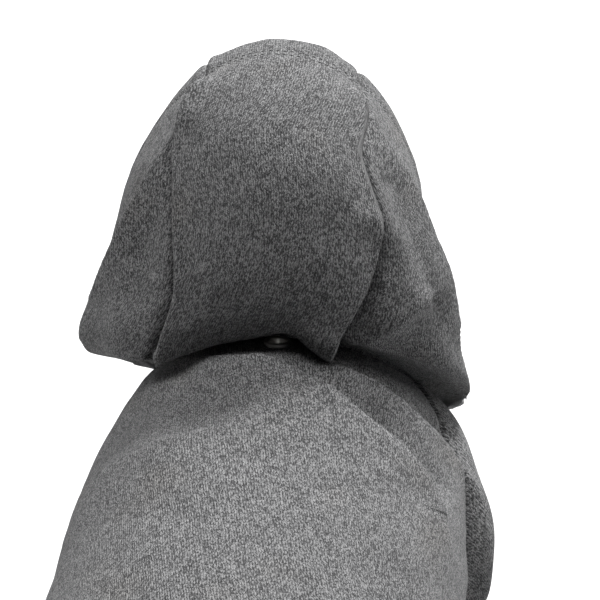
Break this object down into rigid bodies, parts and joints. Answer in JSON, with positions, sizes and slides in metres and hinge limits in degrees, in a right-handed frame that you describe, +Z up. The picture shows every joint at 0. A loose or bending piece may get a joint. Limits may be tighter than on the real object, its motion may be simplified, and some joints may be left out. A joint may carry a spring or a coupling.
{
  "type": "hooded dog sweatshirt",
  "caption": "Hooded fleece sweatshirt for a small dog in its worn shape, with raglan sleeves, ribbed cuffs and waistband, a slack hood and a leash eyelet at the neck.",
  "frame": {"origin": "at the withers, level with the inner face of the back, where the garment sits on the dog", "axes": "+Y forward to the dog's head, +X to the dog's right, +Z up"},
  "size_m": [0.1813, 0.3964, 0.3155],
  "materials": {
    "fleece": "grey melange knit, brushed inside",
    "rib_knit": "grey melange rib knit",
    "nickel": "polished nickel"
  },
  "bodies": {
    "root": {"back_panel": "fleece", "belly_panel": "fleece", "sleeve_right": "fleece", "sleeve_left": "fleece", "hood_centre_panel": "fleece", "hood_right_panel": "fleece", "hood_left_panel": "fleece", "cuff_right": "rib_knit", "cuff_left": "rib_knit", "waistband": "rib_knit", "leash_eyelet": "nickel"}
  },
  "joints": []
}
